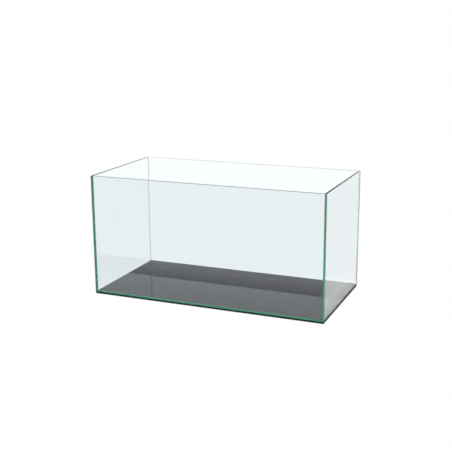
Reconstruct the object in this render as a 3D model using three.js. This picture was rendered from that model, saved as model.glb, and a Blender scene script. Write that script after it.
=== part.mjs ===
// A rimless aquarium tank: five panes of float glass bonded with clear silicone, standing on a foam mat.
//
// Millimetres, +Z up. The origin is at the centre of the mat's underside. +X runs along the length, and the
// front of the tank faces -Y.

import * as THREE from 'three';

// Driving dimensions of the glass box

const LENGTH = 600; // outside, along X
const WIDTH = 300; // outside, along Y
const PANE_HEIGHT = 300; // of the four walls
const GLASS = 5; // thickness of every pane
const ARRIS = 0.3; // the small bevel ground on every edge of a pane

// Driving dimensions of the silicone joints

const BOND = 0.5; // thickness of the film between two panes
const BEAD_LEG = 1.5; // how far the inner bead reaches along each pane
const BEAD_RADIUS = 2; // of its hollow face
const BEAD_STEPS = 8; // facets across that face, an even number so that one corner is on the mitre
const BEAD_TOP_GAP = 1; // the upright beads end this far below the rim

// Driving dimensions of the foam mat

const MAT = 3; // thickness
const MAT_INSET = 0.5; // how far the glass stands out past it, all round

// Sizes that follow

const INSIDE_LENGTH = LENGTH - 2 * GLASS;
const INSIDE_WIDTH = WIDTH - 2 * GLASS;
const RIM = MAT + PANE_HEIGHT;
const FLOOR = MAT + GLASS; // top of the base pane
const QUARTER_TURN = Math.PI / 2;

// Finishes

const glass = new THREE.MeshStandardMaterial({
  color: 0xdceee8,
  roughness: 0.03,
  metalness: 0,
  transparent: true,
  opacity: 0.3,
});

const silicone = new THREE.MeshStandardMaterial({
  color: 0xe4e9e7,
  roughness: 0.35,
  metalness: 0,
  transparent: true,
  opacity: 0.6,
});

const foam = new THREE.MeshStandardMaterial({ color: 0x17191a, roughness: 0.95, metalness: 0 });

function namedMesh(name, geometry, material) {
  const mesh = new THREE.Mesh(geometry, material.clone());
  mesh.name = name;
  return mesh;
}

// A flat pane centred on its width and height, with its inner face at z = 0 and its outer face at z = GLASS.
// The bevel is the arris, and the outline's short diagonals are the dubbed corners.
function paneGeometry(width, height) {
  const x = width / 2;
  const y = height / 2;
  const outline = new THREE.Shape();
  outline.moveTo(-x + ARRIS, -y);
  outline.lineTo(x - ARRIS, -y);
  outline.lineTo(x, -y + ARRIS);
  outline.lineTo(x, y - ARRIS);
  outline.lineTo(x - ARRIS, y);
  outline.lineTo(-x + ARRIS, y);
  outline.lineTo(-x, y - ARRIS);
  outline.lineTo(-x, -y + ARRIS);
  const geometry = new THREE.ExtrudeGeometry(outline, {
    depth: GLASS - 2 * ARRIS,
    bevelThickness: ARRIS,
    bevelSize: ARRIS,
    bevelOffset: -ARRIS,
    bevelSegments: 1,
  });
  geometry.translate(0, 0, ARRIS);
  return geometry;
}

// The joints run along corners. A section is drawn in the corner's own plane, where each of a point's two
// numbers is its distance into the tank from one of the two panes that meet there.

// The bead: two straight legs on the panes and a hollow face between them.
function beadSection() {
  const halfChord = BEAD_LEG / Math.SQRT2;
  const centreToChord = Math.sqrt(BEAD_RADIUS ** 2 - halfChord ** 2);
  const centre = (halfChord + centreToChord) / Math.SQRT2;
  const spread = Math.asin(halfChord / BEAD_RADIUS);
  const middle = 5 * Math.PI / 4; // from the hollow face's centre towards the corner
  const points = [new THREE.Vector2(0, 0), new THREE.Vector2(BEAD_LEG, 0)];
  for (let step = 1; step < BEAD_STEPS; step++) {
    const angle = middle + spread * (1 - 2 * step / BEAD_STEPS);
    points.push(new THREE.Vector2(centre + BEAD_RADIUS * Math.cos(angle), centre + BEAD_RADIUS * Math.sin(angle)));
  }
  points.push(new THREE.Vector2(0, BEAD_LEG));
  return points;
}

// The film between two panes. It fills the gap and the arris beside the bead, and stops short of the arris
// outside, as silicone does when it is wiped off.
function bondSection() {
  return [
    new THREE.Vector2(0, 0),
    new THREE.Vector2(BOND + ARRIS, 0),
    new THREE.Vector2(BOND, -ARRIS),
    new THREE.Vector2(BOND, ARRIS - GLASS),
    new THREE.Vector2(0, ARRIS - GLASS),
  ];
}

function swapped(section) {
  return section.map((point) => new THREE.Vector2(point.y, point.x));
}

// A bar with that section along z. At a mitred end each point is pulled in by its larger distance from the
// two panes, so that three bars meet face to face where three panes do.
function cornerBar(section, length, mitreStart, mitreEnd) {
  const geometry = new THREE.ExtrudeGeometry(new THREE.Shape(section), { depth: length, bevelEnabled: false });
  const position = geometry.attributes.position;
  for (let i = 0; i < position.count; i++) {
    const pull = Math.max(position.getX(i), position.getY(i));
    if (position.getZ(i) === 0) {
      position.setZ(i, mitreStart ? pull : 0);
    } else {
      position.setZ(i, mitreEnd ? length - pull : length);
    }
  }
  geometry.computeVertexNormals();
  return geometry;
}

// One wall with the joints at its foot and at its left-hand corner, seen from outside. It is built as the
// front wall is, and turned about the upright axis to its own side.
function wall({ side, corner, turns, paneWidth, insideRun, reach }) {
  const group = new THREE.Group();
  group.rotation.z = turns * QUARTER_TURN;

  const pane = namedMesh(`${side}_pane`, paneGeometry(paneWidth, PANE_HEIGHT), glass);
  pane.rotation.x = QUARTER_TURN;
  pane.position.set(0, -reach, MAT + PANE_HEIGHT / 2);
  group.add(pane);

  const footBars = [
    [`base_bond_${side}`, bondSection()],
    [`base_bead_${side}`, beadSection()],
  ];
  for (const [name, section] of footBars) {
    const bar = namedMesh(name, cornerBar(section, insideRun, true, true), silicone);
    bar.rotation.set(QUARTER_TURN, QUARTER_TURN, 0); // the section's first axis points inwards, its second up
    bar.position.set(-insideRun / 2, -reach, FLOOR);
    group.add(bar);
  }

  // The front and back panes cover the side panes' edges, so the film lies the other way round at every
  // second corner.
  const turned = turns % 2 === 1;
  const bond = turned ? bondSection() : swapped(bondSection());
  const upright = cornerBar(bond, PANE_HEIGHT - 2 * ARRIS, false, false);
  const bondBar = namedMesh(`bond_${corner}`, upright, silicone);
  bondBar.position.set(-insideRun / 2, -reach, MAT + ARRIS);
  group.add(bondBar);

  const beadHeight = RIM - BEAD_TOP_GAP - FLOOR;
  const beadBar = namedMesh(`bead_${corner}`, cornerBar(beadSection(), beadHeight, true, false), silicone);
  beadBar.position.set(-insideRun / 2, -reach, FLOOR);
  group.add(beadBar);

  return group;
}

function basePane() {
  const pane = namedMesh('base_pane', paneGeometry(INSIDE_LENGTH - 2 * BOND, INSIDE_WIDTH - 2 * BOND), glass);
  pane.position.z = MAT;
  return pane;
}

function foamMat() {
  const geometry = new THREE.BoxGeometry(LENGTH - 2 * MAT_INSET, WIDTH - 2 * MAT_INSET, MAT);
  const mat = namedMesh('foam_mat', geometry, foam);
  mat.position.z = MAT / 2;
  return mat;
}

const longWall = { paneWidth: LENGTH, insideRun: INSIDE_LENGTH, reach: INSIDE_WIDTH / 2 };
const endWall = { paneWidth: INSIDE_WIDTH - 2 * BOND, insideRun: INSIDE_WIDTH, reach: INSIDE_LENGTH / 2 };

const tank = new THREE.Group();
tank.add(foamMat());
tank.add(basePane());
tank.add(wall({ side: 'front', corner: 'front_left', turns: 0, ...longWall }));
tank.add(wall({ side: 'right', corner: 'front_right', turns: 1, ...endWall }));
tank.add(wall({ side: 'back', corner: 'back_right', turns: 2, ...longWall }));
tank.add(wall({ side: 'left', corner: 'back_left', turns: 3, ...endWall }));

export default tank;
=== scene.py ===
"""The look of a rimless glass aquarium on a black foam mat.

Metres, +Z up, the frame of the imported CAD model. Every place and size comes from that model's boxes.
"""

import math

import bmesh
import bpy
from mathutils import Matrix, Vector, noise


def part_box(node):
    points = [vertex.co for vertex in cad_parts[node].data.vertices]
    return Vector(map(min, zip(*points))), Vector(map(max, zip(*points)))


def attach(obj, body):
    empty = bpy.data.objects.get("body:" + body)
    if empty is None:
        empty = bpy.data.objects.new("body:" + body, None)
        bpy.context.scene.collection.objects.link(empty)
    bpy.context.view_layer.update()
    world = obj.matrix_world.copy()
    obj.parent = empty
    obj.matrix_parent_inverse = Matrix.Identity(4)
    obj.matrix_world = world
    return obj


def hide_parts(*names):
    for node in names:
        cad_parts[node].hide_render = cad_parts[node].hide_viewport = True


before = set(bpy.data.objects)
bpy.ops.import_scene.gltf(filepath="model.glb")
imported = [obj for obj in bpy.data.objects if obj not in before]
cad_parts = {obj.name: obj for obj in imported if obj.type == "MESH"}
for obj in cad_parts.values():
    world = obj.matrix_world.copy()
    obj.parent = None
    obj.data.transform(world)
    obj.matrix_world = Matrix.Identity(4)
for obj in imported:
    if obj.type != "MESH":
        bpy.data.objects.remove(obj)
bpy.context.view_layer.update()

MM = 0.001

# Sizes read from the CAD model

FRONT_LO, FRONT_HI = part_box("front_pane")
BACK_LO, BACK_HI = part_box("back_pane")
LEFT_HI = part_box("left_pane")[1]
RIGHT_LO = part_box("right_pane")[0]
BASE_LO, BASE_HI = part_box("base_pane")
MAT_LO, MAT_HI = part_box("foam_mat")
LENGTH = FRONT_HI.x - FRONT_LO.x
HEIGHT = FRONT_HI.z - FRONT_LO.z
GLASS = BASE_HI.z - BASE_LO.z
INSIDE_LO = Vector((LEFT_HI.x, FRONT_HI.y, BASE_HI.z))
INSIDE_HI = Vector((RIGHT_LO.x, BACK_LO.y, FRONT_HI.z))
BOND = BASE_LO.x - INSIDE_LO.x
BEAD_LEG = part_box("base_bead_front")[1].z - BASE_HI.z
BEAD_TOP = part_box("bead_front_left")[1].z

X, Y, Z = Vector((1, 0, 0)), Vector((0, 1, 0)), Vector((0, 0, 1))
FACING = {"left": -X, "right": X, "front": -Y, "back": Y, "under": -Z, "top": Z}

# Sizes of the finish

ARRIS = 0.3 * MM
MAT_ROUND = 0.3 * MM
CLEARANCE = 0.02 * MM  # between two pieces that touch, so that their surfaces stay apart
STATION = 8 * MM  # spacing of the sections along a bead
BEAD_RADIUS = 1.25 * BEAD_LEG  # of the bead's hollow face
BEAD_WOBBLE = 0.02  # how much a bead swells and thins, as a share of its size
WOBBLE_SCALE = 45  # how quickly it does so along the bead
FILM_HOLLOW = 0.2 * MM  # how far the film's outer end is hollowed


# Nodes


def new_material(name):
    material = bpy.data.materials.new(name)
    material.use_nodes = True
    tree = material.node_tree
    shader = tree.nodes["Principled BSDF"]
    return material, tree, shader


def add_node(tree, kind, settings=None, **inputs):
    """A node with its settings and inputs. An input is a value, or another node's output to link."""
    node = tree.nodes.new(kind)
    for key, value in (settings or {}).items():
        setattr(node, key, value)
    for key, value in inputs.items():
        socket = node.inputs[int(key[1:])] if key[0] == "i" and key[1:].isdigit() else node.inputs[key]
        if isinstance(value, bpy.types.NodeSocket):
            tree.links.new(value, socket)
        else:
            socket.default_value = value
    return node


def object_coordinates(tree, stretch=(1, 1, 1)):
    place = add_node(tree, "ShaderNodeTexCoord").outputs["Object"]
    return add_node(tree, "ShaderNodeMapping", Vector=place, Scale=stretch).outputs["Vector"]


def noise_value(tree, place, scale, detail=3.0, rough=0.5):
    """Smooth noise from 0 to 1. The scale is about the number of its swells in a metre."""
    texture = add_node(tree, "ShaderNodeTexNoise", Vector=place, Scale=scale, Detail=detail, Roughness=rough)
    return texture.outputs["Fac"]


def remapped(tree, value, low, high, to_low, to_high):
    mapped = add_node(tree, "ShaderNodeMapRange", i0=value, i1=low, i2=high, i3=to_low, i4=to_high)
    return mapped.outputs["Result"]


def blended(tree, factor, first, second):
    """A mix of two colours. Each is three numbers, or another node's output."""
    first, second = (c if isinstance(c, bpy.types.NodeSocket) else (*c, 1) for c in (first, second))
    # The mix node's colour sockets share their names with others, so they are taken by place.
    return add_node(tree, "ShaderNodeMix", {"data_type": "RGBA"}, i0=factor, i6=first, i7=second).outputs[2]


def clouded(tree, cloud, tint, spread):
    """The tint, darker and lighter from place to place by that share of it."""
    return blended(tree, cloud, [c * (1 - spread) for c in tint], [c * (1 + spread) for c in tint])


def bumped(tree, height, strength, distance):
    bump = add_node(tree, "ShaderNodeBump", Height=height, Strength=strength, Distance=distance)
    return bump.outputs["Normal"]


def arithmetic(tree, operation, *values):
    inputs = {f"i{i}": value for i, value in enumerate(values)}
    return add_node(tree, "ShaderNodeMath", {"operation": operation}, **inputs).outputs[0]


def ramped(tree, value, stops, tint=(1, 1, 1)):
    """A ramp through the stops. Each is a position and a brightness, tinted where it is darker than white."""
    ramp = add_node(tree, "ShaderNodeValToRGB", i0=value)
    elements = ramp.color_ramp.elements
    while len(elements) < len(stops):
        elements.new(0.5)
    for element, (position, level) in zip(elements, stops):
        element.position = position
        element.color = (*(level * c for c in (tint if level < WHITE else (1, 1, 1))), 1)
    return ramp.outputs["Color"]


# Materials

GLASS_INDEX = 1.52
BEAD_INDEX = 1.1
FILM_INDEX = 1.03  # glass on both sides hides the surface of a film, so it hardly bends light

# The least and the most roughness that a surface has

POLISHED = (0.03, 0.08)
CLEAR_CUT = (0.01, 0.04)
GROUND = (0.15, 0.3)
ROUGH_CUT = (0.2, 0.4)
WALL_HAZE = 0.006  # the most roughness of a pane's face, where it has been wiped
FLOOR_HAZE = 0.001

# Tints. Besides the glass's own green, the edge tints carry painted light and shade: the edges differ in how
# much light reaches them, and in what lies behind them.

FACE_TINT = (0.847, 0.876, 0.887)
FLOOR_TINT = (0.869, 0.896, 0.907)
CUT_TINT = (0.10, 0.36, 0.24)
REAR_CUT_TINT = (0.05, 0.08, 0.07)
BONDED_TINT = (0.17, 0.79, 0.39)  # painted light: brighter than the cut edges, to make up for the light that reaches it less through the glass
BASE_EDGE_TINT = (0.20, 0.85, 0.49)
DEEP_EDGE_PAINTED_SHADE = (0.01, 0.035, 0.025)  # painted shade: the glass behind it is twice as long, and it is painted darker still along the foot
REAR_BONDED_TINT = (0.42, 0.46, 0.45)
REAR_END_TINT = (0.70, 0.77, 0.76)
REAR_END_PAINTED_RIM_SHADE = (0.05, 0.055, 0.053)  # painted shade: the rear ends are painted darker towards the rim
RIM_SHADE = (0.18, 0.30)  # where they do so, as shares of the height down from the rim
# The rims are one glass edge in lit and shaded copies: painted light on the back rim, painted shade on the
# end rims, darkest on the left.
RIM_TINT = (0.42, 0.46, 0.45)
BACK_RIM_PAINTED_LIGHT = (0.70, 0.73, 0.72)
END_RIM_PAINTED_SHADE = (0.15, 0.18, 0.17)
LEFT_RIM_PAINTED_SHADE = (0.03, 0.05, 0.045)
# Painted shade: the feet, and the arrises along them, are opaque and nearly black.
FOOT_PAINTED_SHADE = (0.008, 0.022, 0.015)
ABSORPTION = (2.5, 1.0, 1.4)  # of red, green and blue, per metre of glass


def absorb(tree):
    """Clear float glass is faintly green through its thickness, and green along its length."""
    strongest = max(ABSORPTION)
    passed = tuple(1 - a / strongest for a in ABSORPTION)
    volume = add_node(tree, "ShaderNodeVolumeAbsorption", Color=(*passed, 1), Density=strongest)
    tree.links.new(volume.outputs["Volume"], tree.nodes["Material Output"].inputs["Volume"])


def glass_face(name, tint, sheen, haze):
    """The sheen is how much of a mirror the glass is when it is looked at square on."""
    material, tree, shader = new_material(name)
    place = object_coordinates(tree)
    shader.inputs["Transmission Weight"].default_value = 1
    shader.inputs["IOR"].default_value = GLASS_INDEX
    shader.inputs["Specular Tint"].default_value = (sheen, sheen, sheen, 1)
    drift = noise_value(tree, place, 3.0, detail=1.0)
    tree.links.new(clouded(tree, drift, tint, 0.006), shader.inputs["Base Color"])
    wiped = noise_value(tree, object_coordinates(tree, (1, 1, 4)), 14.0, detail=4.0)
    tree.links.new(remapped(tree, wiped, 0.35, 0.8, 0.0, haze), shader.inputs["Roughness"])
    absorb(tree)
    return material


def glass_edge(name, tint, transmission, roughness, shine=0.5, painted_rim_shade=None):
    """A cut edge, ground flat and polished, which shows the length of the glass behind it as green.

    With a painted rim shade, an upright edge is painted that darker colour near the rim.
    """
    material, tree, shader = new_material(name)
    shader.inputs["Transmission Weight"].default_value = transmission
    shader.inputs["IOR"].default_value = GLASS_INDEX
    shader.inputs["Specular IOR Level"].default_value = shine
    place = object_coordinates(tree)
    cloud = noise_value(tree, place, 60.0, detail=3.0)
    colour = clouded(tree, cloud, tint, 0.05)
    # Painted shade: near the rim the edge takes the darker colour.
    if painted_rim_shade:
        height = add_node(tree, "ShaderNodeSeparateXYZ", Vector=place).outputs["Z"]
        full, none = (FRONT_HI.z - share * HEIGHT for share in RIM_SHADE)
        rim_shade_mask = remapped(tree, height, none, full, 0, 1)
        colour = blended(tree, rim_shade_mask, colour, painted_rim_shade)
    tree.links.new(colour, shader.inputs["Base Color"])
    grind = noise_value(tree, place, 900.0, detail=2.0)
    tree.links.new(remapped(tree, grind, 0.3, 0.7, *roughness), shader.inputs["Roughness"])
    tree.links.new(bumped(tree, grind, 0.04, 0.1 * MM), shader.inputs["Normal"])
    absorb(tree)
    return material


def clear_silicone(name, index):
    material, tree, shader = new_material(name)
    shader.inputs["Transmission Weight"].default_value = 1
    shader.inputs["IOR"].default_value = index
    place = object_coordinates(tree)
    cloud = noise_value(tree, place, 120.0, detail=3.0)
    tint = blended(tree, cloud, (0.92, 0.94, 0.93), (0.96, 0.97, 0.965))
    tree.links.new(tint, shader.inputs["Base Color"])
    tree.links.new(remapped(tree, cloud, 0.3, 0.7, 0.0, 0.03), shader.inputs["Roughness"])
    return material


def black_foam():
    material, tree, shader = new_material("black_closed_cell_foam")
    place = object_coordinates(tree)
    cells = add_node(tree, "ShaderNodeTexVoronoi", Vector=place, Scale=1400.0)
    skin = noise_value(tree, place, 90.0, detail=4.0)
    shade = blended(tree, skin, (0.005, 0.0055, 0.006), (0.011, 0.012, 0.013))
    tree.links.new(shade, shader.inputs["Base Color"])
    shader.inputs["Specular IOR Level"].default_value = 0.1
    tree.links.new(remapped(tree, skin, 0.3, 0.7, 0.8, 0.95), shader.inputs["Roughness"])
    tree.links.new(bumped(tree, cells.outputs["Distance"], 0.5, 0.3 * MM), shader.inputs["Normal"])
    return material


# Meshes


def finish_piece(name, bm, materials, nodes):
    mesh = bpy.data.meshes.new(name)
    bm.to_mesh(mesh)
    bm.free()
    for material in materials:
        mesh.materials.append(material)
    piece = bpy.data.objects.new(name, mesh)
    bpy.context.scene.collection.objects.link(piece)
    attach(piece, "root")
    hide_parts(*nodes)
    return piece


def boxed(bm, low, high):
    size = high - low
    matrix = Matrix.Translation((low + high) / 2) @ Matrix.Diagonal((*size, 1))
    bmesh.ops.create_cube(bm, size=1, matrix=matrix)


def pane(name, node, arris, **finishes):
    """A pane with rounded arrises. The finish of each flat side goes by the way the side faces.

    The arrises along the rim and the foot look as the rim and the foot do.
    """
    bm = bmesh.new()
    boxed(bm, *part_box(node))
    bmesh.ops.bevel(bm, geom=bm.edges[:], offset=ARRIS, segments=3, profile=0.6, affect="EDGES")
    materials = [arris, *dict.fromkeys(finishes.values())]
    for face in bm.faces:
        side = max(finishes, key=lambda side: face.normal.dot(FACING[side]))
        face.smooth = face.normal.dot(FACING[side]) < 0.9999
        if not face.smooth:
            face.material_index = materials.index(finishes[side], 1)
        elif abs(face.normal.z) > 0.1:
            end = finishes["top" if face.normal.z > 0 else "under"]
            face.material_index = materials.index(end, 1)
    return finish_piece(name, bm, materials, [node])


def bead_section(steps=12):
    """The bead's outline: two legs on the panes and a hollow face. Each number is a distance from a pane.

    The number that comes with an outline is the first of its curved sides. They run on to the last but one.
    """
    half_chord = BEAD_LEG / math.sqrt(2)
    centre = (half_chord + math.sqrt(BEAD_RADIUS**2 - half_chord**2)) / math.sqrt(2)
    spread = math.asin(half_chord / BEAD_RADIUS)
    towards_corner = 1.25 * math.pi
    points = [(CLEARANCE, CLEARANCE), (BEAD_LEG, CLEARANCE)]
    for step in range(1, steps):
        angle = towards_corner + spread * (1 - 2 * step / steps)
        points.append((centre + BEAD_RADIUS * math.cos(angle), centre + BEAD_RADIUS * math.sin(angle)))
    points.append((CLEARANCE, BEAD_LEG))
    return points, 1


def bond_section(steps=6):
    """The film between two panes: across the gap, then out from the inside. Its outer end is hollow."""
    near, far = CLEARANCE, BOND - CLEARANCE
    outer = ARRIS - GLASS
    points = [(near, -CLEARANCE), (BOND + ARRIS - CLEARANCE, -CLEARANCE), (far, -ARRIS)]
    for step in range(steps + 1):
        turn = step / steps
        hollow = FILM_HOLLOW * math.sin(math.pi * turn)
        points.append((far + (near - far) * turn, outer + hollow))
    return points, 3


def corner_sweep(name, node, origin, directions, length, section, wobble, mitred, material):
    """A bar along a corner between two panes. At a mitred end a point is pulled in by its distance from them.

    The directions are the two that the outline's numbers go in, and the one along the corner.
    """
    first, second, along = directions
    mitre_start, mitre_end = mitred
    outline, first_curved = section
    bm = bmesh.new()
    stations = max(2, round(length / STATION) + 1)
    rings = []
    for station in range(stations):
        share = station / (stations - 1)
        ring = []
        for a, b in outline:
            pull = max(a, b, 0)
            start = pull if mitre_start else 0
            end = length - pull if mitre_end else length
            run = start + (end - start) * share
            place = origin + along * run
            swell = 1 + wobble * noise.noise(place * WOBBLE_SCALE)
            ring.append(bm.verts.new(place + first * a * swell + second * b * swell))
        rings.append(ring)
    count = len(outline)
    for here, there in zip(rings, rings[1:]):
        for i in range(count):
            j = (i + 1) % count
            side = bm.faces.new((here[i], here[j], there[j], there[i]))
            side.smooth = first_curved <= i < count - 1
    for ring in (rings[0], rings[-1]):
        for i in range(1, count - 1):
            bm.faces.new((ring[0], ring[i], ring[i + 1]))
    bmesh.ops.recalc_face_normals(bm, faces=bm.faces[:])
    return finish_piece(name, bm, [material], [node])


def silicone_joints(bead, film):
    low, high = INSIDE_LO, INSIDE_HI
    corners = {
        "front_left": (Vector((low.x, low.y, 0)), X, Y),
        "front_right": (Vector((high.x, low.y, 0)), -X, Y),
        "back_right": (Vector((high.x, high.y, 0)), -X, -Y),
        "back_left": (Vector((low.x, high.y, 0)), X, -Y),
    }
    for corner, (foot, inward_x, inward_y) in corners.items():
        corner_sweep(f"seal_bead_{corner}", f"bead_{corner}", foot + Z * low.z, (inward_x, inward_y, Z),
                     BEAD_TOP - low.z, bead_section(), BEAD_WOBBLE, (True, False), bead)
        film_foot = foot + Z * (FRONT_LO.z + ARRIS)
        corner_sweep(f"bond_film_{corner}", f"bond_{corner}", film_foot, (inward_y, inward_x, Z),
                     HEIGHT - 2 * ARRIS, bond_section(), 0, (False, False), film)
    sides = {
        "front": (Vector((low.x, low.y, 0)), Y, X, high.x - low.x),
        "back": (Vector((low.x, high.y, 0)), -Y, X, high.x - low.x),
        "left": (Vector((low.x, low.y, 0)), X, Y, high.y - low.y),
        "right": (Vector((high.x, low.y, 0)), -X, Y, high.y - low.y),
    }
    for side, (foot, inward, along, length) in sides.items():
        start = foot + Z * low.z
        corner_sweep(f"seal_bead_floor_{side}", f"base_bead_{side}", start, (inward, Z, along),
                     length, bead_section(), BEAD_WOBBLE, (True, True), bead)
        corner_sweep(f"bond_film_floor_{side}", f"base_bond_{side}", start, (inward, Z, along),
                     length, bond_section(), 0, (True, True), film)


def foam_mat(material):
    bm = bmesh.new()
    boxed(bm, MAT_LO, MAT_HI - Z * CLEARANCE)
    bmesh.ops.bevel(bm, geom=bm.edges[:], offset=MAT_ROUND, segments=3, profile=0.5, affect="EDGES")
    piece = finish_piece("foam_levelling_mat", bm, [material], ["foam_mat"])
    return piece


# Studio

WHITE = 1.15  # what shows through the glass, a little over the brightest that a picture can show
BACKDROP_RADIUS = 20  # within the reach of every camera
TABLE_RADIUS = 60
CLOTH = (1.03, 0.97, 1.01)  # the tint of the tent's wall

# The tent's wall: how steeply a reflection rises, and how bright the tent is there
TENT_STOPS = [(0.15, WHITE), (0.175, WHITE), (0.192, 0.75), (0.21, 0.25), (0.222, 0.15), (0.30, 0.25),
              (0.333, 0.64), (0.3548, 0.38), (0.3558, 0.81), (0.385, 0.71), (0.40, 0.72)]
TENT_TOP = 1.0  # the slope from which the tent is plain white

# The table in reflections: dark towards the front, with a brighter and a darker part towards the back

HORIZON = -0.03  # the height of a direction below which it meets the table
FRONT_TABLE = 0.15
FAR_TABLE = 0.82
TABLE_STEP = (-0.335, -0.325)  # the slopes between which the back changes
TABLE_TURN = (-0.4, 0.3)  # how far a direction points back, from dark to bright

# The table beside the tank: the share of the shade's reach, and how bright the table is there

SHADE_REACH = 40 * MM
SHADE_LIFT = 0.5 * MM
SHADE_STOPS = [(0.0, 0.03), (0.12, 0.04), (0.16, 0.24), (0.22, 0.52), (0.28, 0.78), (0.36, 0.88),
               (0.55, 0.85), (0.75, 1.11), (1.0, 1.2)]


def rectangle(low, high):
    return [(low.x, low.y), (high.x, low.y), (high.x, high.y), (low.x, high.y)]


def studio_world():
    world = bpy.data.worlds.new("light_tent")
    bpy.context.scene.world = world
    world.use_nodes = True
    tree = world.node_tree
    place = add_node(tree, "ShaderNodeTexCoord").outputs["Generated"]
    parts = add_node(tree, "ShaderNodeSeparateXYZ", Vector=place)
    reach = arithmetic(tree, "MAXIMUM", arithmetic(tree, "ABSOLUTE", parts.outputs["X"]),
                       arithmetic(tree, "ABSOLUTE", parts.outputs["Y"]))
    slope = arithmetic(tree, "DIVIDE", parts.outputs["Z"], reach)
    # A colour ramp has only 256 steps, so it is spread over the slopes where the tent changes.
    low, high = TENT_STOPS[0][0], TENT_STOPS[-1][0]
    stops = [((position - low) / (high - low), level) for position, level in TENT_STOPS]
    side = ramped(tree, remapped(tree, slope, low, high, 0, 1), stops, CLOTH)
    above = blended(tree, remapped(tree, slope, high, TENT_TOP, 0, 1), side, (1, 1, 1))
    back = remapped(tree, slope, *TABLE_STEP, WHITE, FAR_TABLE)
    below = remapped(tree, parts.outputs["Y"], *TABLE_TURN, FRONT_TABLE, back)
    is_below = arithmetic(tree, "LESS_THAN", parts.outputs["Z"], HORIZON)
    background = tree.nodes["Background"]
    tree.links.new(blended(tree, is_below, above, below), background.inputs["Color"])
    background.inputs["Strength"].default_value = 1


def staged(name, bm, colour):
    """A glowing part of the studio. The colour is a function of the material's node tree."""
    mesh = bpy.data.meshes.new(name)
    bm.to_mesh(mesh)
    bm.free()
    material = bpy.data.materials.new(name)
    material.use_nodes = True
    tree = material.node_tree
    tree.nodes.remove(tree.nodes["Principled BSDF"])
    glow = add_node(tree, "ShaderNodeEmission", Color=colour(tree), Strength=1)
    tree.links.new(glow.outputs[0], tree.nodes["Material Output"].inputs["Surface"])
    mesh.materials.append(material)
    item = bpy.data.objects.new(name, mesh)
    bpy.context.scene.collection.objects.link(item)
    return item


def hide_from_rays(item, *kinds):
    for kind in kinds:
        setattr(item, f"visible_{kind}", False)


def studio_floor():
    """The floor and what is behind it, as the camera sees them.

    They are no brighter than white, so that thin dark lines against them stay dark.
    """
    floor_disc, shell = bmesh.new(), bmesh.new()
    bmesh.ops.create_circle(floor_disc, cap_ends=True, segments=64, radius=BACKDROP_RADIUS)
    bmesh.ops.create_uvsphere(shell, u_segments=64, v_segments=32, radius=BACKDROP_RADIUS)
    for name, bm in (("studio_floor", floor_disc), ("backdrop", shell)):
        item = staged(name, bm, lambda tree: (1, 1, 1, 1))
        hide_from_rays(item, "diffuse", "glossy", "transmission", "shadow")


def table_glow():
    """The floor as it shows through the glass. Above it the glass shows the light tent."""
    bm = bmesh.new()
    bmesh.ops.create_circle(bm, cap_ends=True, segments=64, radius=TABLE_RADIUS)
    item = staged("table_glow", bm, lambda tree: (WHITE, WHITE, WHITE, 1))
    hide_from_rays(item, "camera", "glossy")


def contact_shade():
    """The table darkens towards the foot of the tank. Only reflections in the glass show it."""
    low, high = Vector((FRONT_LO.x, FRONT_LO.y, 0)), Vector((FRONT_HI.x, BACK_HI.y, 0))
    far_low, far_high = low - (X + Y) * SHADE_REACH, high + (X + Y) * SHADE_REACH
    bm = bmesh.new()
    inner = [bm.verts.new((x, y, SHADE_LIFT)) for x, y in rectangle(low, high)]
    outer = [bm.verts.new((x, y, SHADE_LIFT)) for x, y in rectangle(far_low, far_high)]
    for i in range(4):
        j = (i + 1) % 4
        bm.faces.new((inner[i], inner[j], outer[j], outer[i]))

    def shade(tree):
        place = add_node(tree, "ShaderNodeTexCoord").outputs["Object"]
        parts = add_node(tree, "ShaderNodeSeparateXYZ", Vector=place)
        beyond = []
        for axis, half in (("X", high.x), ("Y", high.y)):
            flat = arithmetic(tree, "ABSOLUTE", parts.outputs[axis])
            beyond.append(arithmetic(tree, "SUBTRACT", flat, half))
        distance = arithmetic(tree, "MAXIMUM", *beyond)
        return ramped(tree, remapped(tree, distance, 0, SHADE_REACH, 0, 1), SHADE_STOPS)

    item = staged("contact_shade", bm, shade)
    hide_from_rays(item, "camera", "diffuse", "transmission", "shadow")


CAMERA_PLACE = (1.3561, -3.2259, 1.1649)  # in lengths of the tank
CAMERA_TURN = (22.883, 14.187, -0.389)  # degrees to the left, downwards, and about the line of sight
CAMERA_LENS = 68.513  # on a sensor 36 wide
BOUNCES = 64


def camera():
    yaw, pitch, roll = (math.radians(angle) for angle in CAMERA_TURN)
    forward = Vector((-math.sin(yaw) * math.cos(pitch), math.cos(yaw) * math.cos(pitch), -math.sin(pitch)))
    level = Vector((math.cos(yaw), math.sin(yaw), 0))
    upward = level.cross(forward)
    right = level * math.cos(roll) + upward * math.sin(roll)
    up = upward * math.cos(roll) - level * math.sin(roll)
    data = bpy.data.cameras.new("camera")
    data.sensor_width = 36
    data.lens = CAMERA_LENS
    item = bpy.data.objects.new("camera", data)
    turn = Matrix((right, up, -forward)).transposed().to_4x4()
    item.matrix_world = Matrix.Translation(Vector(CAMERA_PLACE) * LENGTH) @ turn
    bpy.context.scene.collection.objects.link(item)
    bpy.context.scene.camera = item


def picture():
    """Light passes many surfaces of glass, and the picture is a little soft."""
    scene = bpy.context.scene
    scene.view_settings.view_transform = "Standard"
    for limit in ("max_bounces", "transmission_bounces", "glossy_bounces", "transparent_max_bounces"):
        setattr(scene.cycles, limit, BOUNCES)
    scene.cycles.filter_width = 1.6


# The tank

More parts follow.
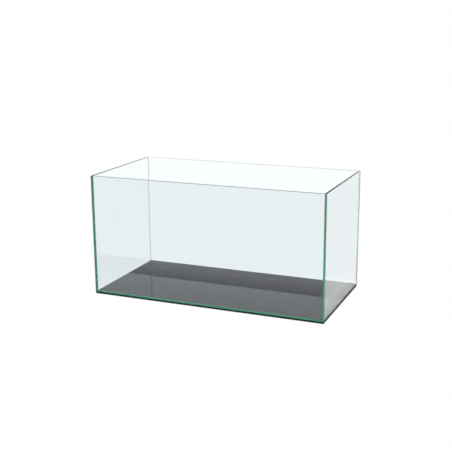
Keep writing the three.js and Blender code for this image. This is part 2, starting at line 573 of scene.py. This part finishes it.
wall = glass_face("float_glass_wall", FACE_TINT, 0.0, WALL_HAZE)
floor = glass_face("float_glass_floor", FLOOR_TINT, 1.0, FLOOR_HAZE)
arris = glass_edge("float_glass_arris", CUT_TINT, 0.1, GROUND)
cut = glass_edge("float_glass_cut_edge", CUT_TINT, 0.1, POLISHED)
rear_cut = glass_edge("float_glass_rear_cut_edge", REAR_CUT_TINT, 0.1, POLISHED, shine=0.2)
bonded = glass_edge("float_glass_bonded_edge", BONDED_TINT, 0.1, POLISHED)
deep = glass_edge("float_glass_deep_edge", DEEP_EDGE_PAINTED_SHADE, 0.1, POLISHED, shine=0.0)
base_edge = glass_edge("float_glass_base_edge", BASE_EDGE_TINT, 0.1, POLISHED)
rear_bonded = glass_edge("float_glass_rear_bonded_edge", REAR_BONDED_TINT, 0.9, CLEAR_CUT)
rear_end = glass_edge("float_glass_rear_end", REAR_END_TINT, 0.55, CLEAR_CUT, painted_rim_shade=REAR_END_PAINTED_RIM_SHADE)
long_rim = glass_edge("float_glass_long_rim", RIM_TINT, 0.6, CLEAR_CUT)
# The back rim carries painted light, and the end rims carry painted shade.
back_rim = glass_edge("float_glass_back_rim", BACK_RIM_PAINTED_LIGHT, 0.3, CLEAR_CUT)
end_rim = glass_edge("float_glass_end_rim", END_RIM_PAINTED_SHADE, 1.0, CLEAR_CUT)
left_rim = glass_edge("float_glass_left_rim", LEFT_RIM_PAINTED_SHADE, 1.0, CLEAR_CUT, shine=0.0)
# Painted shade along the feet of the panes.
foot = glass_edge("float_glass_foot", FOOT_PAINTED_SHADE, 0.0, ROUGH_CUT)
bead = clear_silicone("clear_silicone_bead", BEAD_INDEX)
film = clear_silicone("clear_silicone_film", FILM_INDEX)

long_wall = dict(front=wall, back=wall)
end_wall = dict(left=wall, right=wall, front=bonded, back=rear_end)
pane("glass_front", "front_pane", arris, left=cut, right=cut, **long_wall, top=long_rim, under=foot)
pane("glass_back", "back_pane", rear_cut, left=rear_cut, right=rear_cut, **long_wall, top=back_rim,
     under=foot)
pane("glass_left", "left_pane", arris, **end_wall, top=left_rim, under=foot)
pane("glass_right", "right_pane", arris, **end_wall, top=end_rim, under=foot)
pane("glass_base", "base_pane", arris, top=floor, under=floor, front=base_edge, back=rear_bonded,
     left=deep, right=deep)
silicone_joints(bead, film)
foam_mat(black_foam())

studio_world()
studio_floor()
table_glow()
contact_shade()
camera()
picture()
